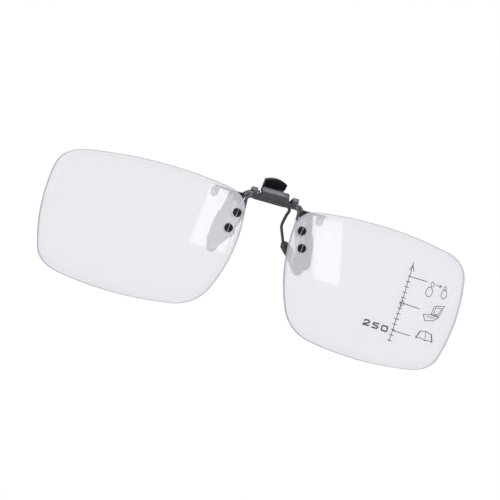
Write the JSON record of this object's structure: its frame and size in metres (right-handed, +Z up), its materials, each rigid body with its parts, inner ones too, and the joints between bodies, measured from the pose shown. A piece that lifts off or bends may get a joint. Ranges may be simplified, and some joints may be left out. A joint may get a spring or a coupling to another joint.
{
  "type": "clip-on flip-up reading lenses",
  "caption": "Rimless reading lenses on a spring clip that fastens over the bridge of another pair of glasses and flips up",
  "frame": {"origin": "middle of the clip's jaws, halfway between the left and right jaw and between the front paddles and the rear pads", "axes": "+X to the viewer's right along the hinge pin, -Y towards the viewer in front of the lenses, +Z up"},
  "size_m": [0.1358, 0.0095, 0.0466],
  "materials": {
    "gunmetal": "satin gunmetal plating",
    "bright_steel": "drawn bright",
    "cap_plastic": "semi-gloss moulded",
    "soft_sleeve": "translucent soft silicone",
    "lens_resin": "polished clear resin with a faint violet coating"
  },
  "bodies": {
    "clip_base": {"hinge_pin": "bright_steel", "clip_saddle": "gunmetal", "friction_washers": "bright_steel", "base_arm_left": "gunmetal", "base_arm_right": "gunmetal", "front_paddle_left": "gunmetal", "front_paddle_right": "gunmetal", "paddle_sleeve_left": "soft_sleeve", "paddle_sleeve_right": "soft_sleeve", "hook_wire_left": "gunmetal", "hook_wire_right": "gunmetal", "hook_tip_left": "soft_sleeve", "hook_tip_right": "soft_sleeve", "clip_spring": "bright_steel"},
    "flip_frame": {"flip_bar": "gunmetal", "lens_arm_left": "gunmetal", "lens_arm_right": "gunmetal", "mount_plate_left": "gunmetal", "mount_plate_right": "gunmetal", "lens_left": "lens_resin", "lens_right": "lens_resin", "lens_bushes": "soft_sleeve", "front_washers": "soft_sleeve", "rear_washers": "soft_sleeve", "lens_screws": "gunmetal"},
    "lever": {"lever_plate": "gunmetal", "lever_cap": "cap_plastic", "rear_wire_left": "gunmetal", "rear_wire_right": "gunmetal", "rear_pad_left": "gunmetal", "rear_pad_right": "gunmetal", "rear_sleeve_left": "soft_sleeve", "rear_sleeve_right": "soft_sleeve"}
  },
  "joints": [
    {"name": "flip", "type": "hinge", "parent": "clip_base", "child": "flip_frame", "pos_m": [0, -0.001, 0.015], "axis": [-1, 0, 0], "range_deg": [0, 90]},
    {"name": "squeeze", "type": "hinge", "parent": "clip_base", "child": "lever", "pos_m": [0, -0.001, 0.015], "axis": [1, 0, 0], "range_deg": [0, 20], "stiffness_Nm_per_rad": 0.03, "springref_deg": -34.38, "deforming": ["clip_spring"]}
  ]
}
